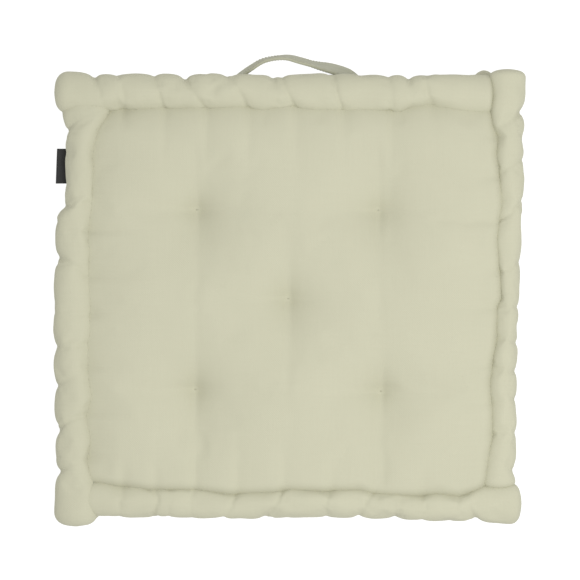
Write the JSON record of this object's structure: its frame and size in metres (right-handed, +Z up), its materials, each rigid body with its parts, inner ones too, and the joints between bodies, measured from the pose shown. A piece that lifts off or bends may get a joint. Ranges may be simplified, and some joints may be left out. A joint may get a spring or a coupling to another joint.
{
  "type": "floor cushion",
  "caption": "Square box-shaped floor cushion with tufted faces, stuffed and pinched edge rolls, a side carry strap and a folded side label.",
  "frame": {"origin": "centre of the footprint, carry strap and label included, on the surface that the cushion lies on", "axes": "+Z up out of the upper face; +Y towards the side with the carry strap; -X towards the side with the label"},
  "size_m": [0.418, 0.4156, 0.08],
  "materials": {
    "cloth": "matt plain-weave cotton, pale sage",
    "fibre": "loose white fibre filling",
    "thread": "matt twisted cotton thread and twine, a little darker than the cloth",
    "strap": "matt plain-weave cotton, folded double and stitched along its edges",
    "ribbon": "black woven ribbon with a slight sheen, blank"
  },
  "bodies": {
    "cushion": {"filling": "fibre", "bottom_panel": "cloth", "top_panel": "cloth", "tuft_tie_centre": "thread", "tuft_tie_back_left": "thread", "tuft_tie_back_right": "thread", "tuft_tie_front_left": "thread", "tuft_tie_front_right": "thread", "side_band_back": "cloth", "side_band_left": "cloth", "side_band_front": "cloth", "side_band_right": "cloth", "roll_cover_bottom_back": "cloth", "roll_wadding_bottom_back": "fibre", "roll_cover_bottom_left": "cloth", "roll_wadding_bottom_left": "fibre", "roll_cover_bottom_front": "cloth", "roll_wadding_bottom_front": "fibre", "roll_cover_bottom_right": "cloth", "roll_wadding_bottom_right": "fibre", "roll_cover_top_back": "cloth", "roll_wadding_top_back": "fibre", "roll_cover_top_left": "cloth", "roll_wadding_top_left": "fibre", "roll_cover_top_front": "cloth", "roll_wadding_top_front": "fibre", "roll_cover_top_right": "cloth", "roll_wadding_top_right": "fibre", "seam_thread_top": "thread", "seam_thread_bottom": "thread", "handle_end_left": "strap", "handle_end_right": "strap", "handle_stitch_left": "thread", "handle_stitch_right": "thread"},
    "handle": {"handle_strap": "strap"},
    "label": {"side_label": "ribbon"}
  },
  "joints": [
    {"name": "handle_swing", "type": "hinge", "parent": "cushion", "child": "handle", "pos_m": [0.007, 0.1757, 0.04], "axis": [1, 0, 0], "range_deg": [-32, 32], "stiffness_Nm_per_rad": 0.02},
    {"name": "label_flap", "type": "hinge", "parent": "cushion", "child": "label", "pos_m": [-0.1894, 0.1082, 0.0526], "axis": [0, 1, 0], "range_deg": [-70, 15], "stiffness_Nm_per_rad": 0.001}
  ]
}
